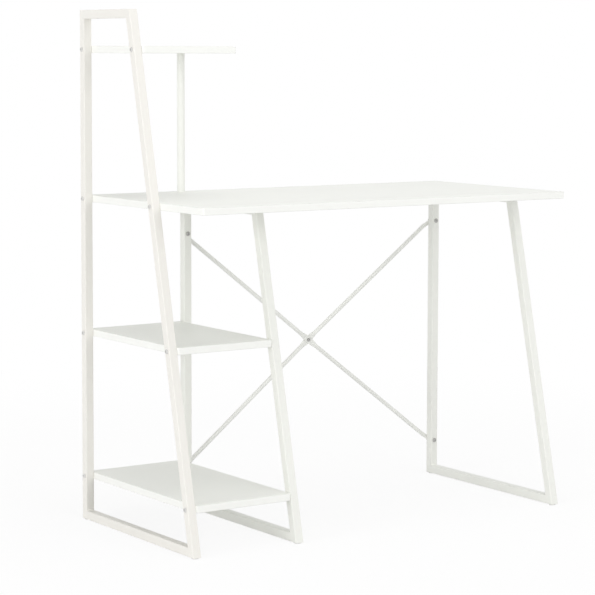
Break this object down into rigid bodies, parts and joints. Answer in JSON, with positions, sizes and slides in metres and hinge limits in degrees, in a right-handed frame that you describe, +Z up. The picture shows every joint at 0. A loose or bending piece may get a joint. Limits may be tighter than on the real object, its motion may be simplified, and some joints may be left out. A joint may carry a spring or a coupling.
{
  "type": "desk with shelves",
  "caption": "Writing desk with a tall leaning steel-tube side frame, shelves under and over one end of the desk top, and a crossed rear brace.",
  "frame": {"origin": "floor level, at the middle of the bounding box", "axes": "+X along the desk away from the shelves, +Y from the front to the rear, +Z up"},
  "size_m": [1.023, 0.5236, 1.17],
  "materials": {
    "white_steel": "satin powder coat",
    "white_board": "satin white melamine",
    "zinc_steel": "zinc plated",
    "white_pad": "matt moulded"
  },
  "bodies": {
    "root": {"left_foot_bar": "white_steel", "left_rear_leg": "white_steel", "left_top_bar": "white_steel", "left_front_leg": "white_steel", "middle_foot_bar": "white_steel", "middle_rear_leg": "white_steel", "middle_top_bar": "white_steel", "middle_front_leg": "white_steel", "right_foot_bar": "white_steel", "right_rear_leg": "white_steel", "right_top_bar": "white_steel", "right_front_leg": "white_steel", "shelf_post": "white_steel", "falling_brace": "white_steel", "rising_brace": "white_steel", "desk_top": "white_board", "top_shelf": "white_board", "middle_shelf": "white_board", "bottom_shelf": "white_board", "post_plugs": "zinc_steel", "left_board_screws": "zinc_steel", "middle_board_screws": "zinc_steel", "desk_screws": "zinc_steel", "post_bolts": "zinc_steel", "brace_bolts": "zinc_steel", "brace_nuts": "zinc_steel", "left_foot_pads": "white_pad", "middle_foot_pads": "white_pad", "right_foot_pads": "white_pad"}
  },
  "joints": []
}
